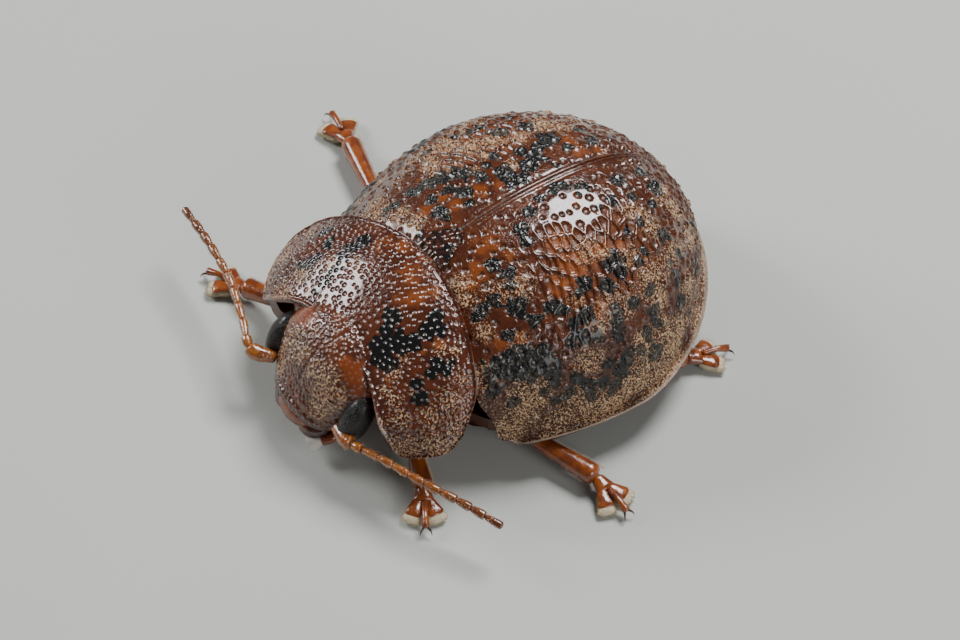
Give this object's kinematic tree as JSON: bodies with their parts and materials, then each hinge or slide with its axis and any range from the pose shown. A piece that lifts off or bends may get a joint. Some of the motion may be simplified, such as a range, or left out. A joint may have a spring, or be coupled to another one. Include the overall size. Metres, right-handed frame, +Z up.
{
  "type": "eucalyptus tortoise beetle model",
  "caption": "Life-size still model of a domed, glossy red-brown leaf beetle with black patches and cream wax speckle, standing on splayed feet with feelers spread.",
  "frame": {"origin": "centre of the footprint of the whole beetle, on the floor under its feet", "axes": "+Z up, the head points along -Y, the beetle's own left is +X"},
  "size_m": [0.0112, 0.0092, 0.0037],
  "materials": {
    "wing_case": "glossy reddish brown chitin with black patches and cream wax",
    "shield": "glossy reddish brown chitin, finely punctured",
    "head": "punctured red-brown chitin with cream wax",
    "eye": "satin black, finely faceted",
    "mouth": "glossy dark red-brown",
    "palp": "pale tan",
    "antenna": "satin orange-brown",
    "belly": "satin dark reddish brown",
    "leg": "glossy amber brown",
    "foot": "amber brown with pale hair pads"
  },
  "bodies": {
    "root": {"abdomen": "belly", "antenna_left_flagellum_base": "antenna", "antenna_left_flagellum_tip": "antenna", "antenna_left_scape": "antenna", "antenna_right_flagellum_base": "antenna", "antenna_right_flagellum_tip": "antenna", "antenna_right_scape": "antenna", "coxa_front_left": "leg", "coxa_front_right": "leg", "coxa_hind_left": "leg", "coxa_hind_right": "leg", "coxa_mid_left": "leg", "coxa_mid_right": "leg", "eye_left": "eye", "eye_right": "eye", "foot_front_left": "foot", "foot_front_right": "foot", "foot_hind_left": "foot", "foot_hind_right": "foot", "foot_mid_left": "foot", "foot_mid_right": "foot", "fore_thorax": "belly", "head": "head", "jaw_left": "mouth", "jaw_right": "mouth", "mid_thorax": "belly", "palp_left": "palp", "palp_right": "palp", "scutellum": "shield", "shin_front_left": "leg", "shin_front_right": "leg", "shin_hind_left": "leg", "shin_hind_right": "leg", "shin_mid_left": "leg", "shin_mid_right": "leg", "thigh_front_left": "leg", "thigh_front_right": "leg", "thigh_hind_left": "leg", "thigh_hind_right": "leg", "thigh_mid_left": "leg", "thigh_mid_right": "leg", "thorax_shield": "shield", "upper_lip": "mouth", "wing_case_left": "wing_case", "wing_case_right": "wing_case"}
  },
  "joints": []
}
